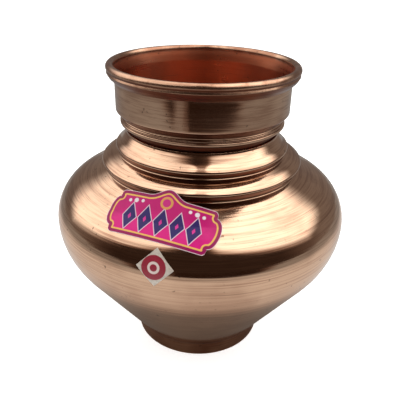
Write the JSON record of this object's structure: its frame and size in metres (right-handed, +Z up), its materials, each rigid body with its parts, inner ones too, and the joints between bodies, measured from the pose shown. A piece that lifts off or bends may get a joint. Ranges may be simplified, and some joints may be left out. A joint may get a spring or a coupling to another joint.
{
  "type": "lota water pot",
  "caption": "Round-bellied copper water pot with a stepped shoulder, a flared wire-rolled rim and a tapered foot band, for holding and pouring water.",
  "frame": {"origin": "centre of the foot's standing edge, on the surface it stands on", "axes": "+Z up along the pot's axis; -Y towards the side with the labels"},
  "size_m": [0.11, 0.11, 0.1114],
  "materials": {
    "polished_copper": "spun and buffed copper, fine turning lines, light tarnish",
    "wire_copper": "drawn copper wire",
    "raw_copper": "unpolished reddish copper",
    "brazing_filler": "dull brazing alloy",
    "printed_label": "glossy printed paper",
    "size_paper": "plain printed paper"
  },
  "bodies": {
    "root": {"neck_collar": "polished_copper", "rim_wire": "wire_copper", "shoulder_shell": "polished_copper", "belly_bowl": "polished_copper", "foot_ring": "raw_copper", "neck_seam_braze": "brazing_filler", "belly_seam_braze": "brazing_filler", "foot_seam_braze": "brazing_filler", "trade_label": "printed_label", "size_label": "size_paper"}
  },
  "joints": []
}
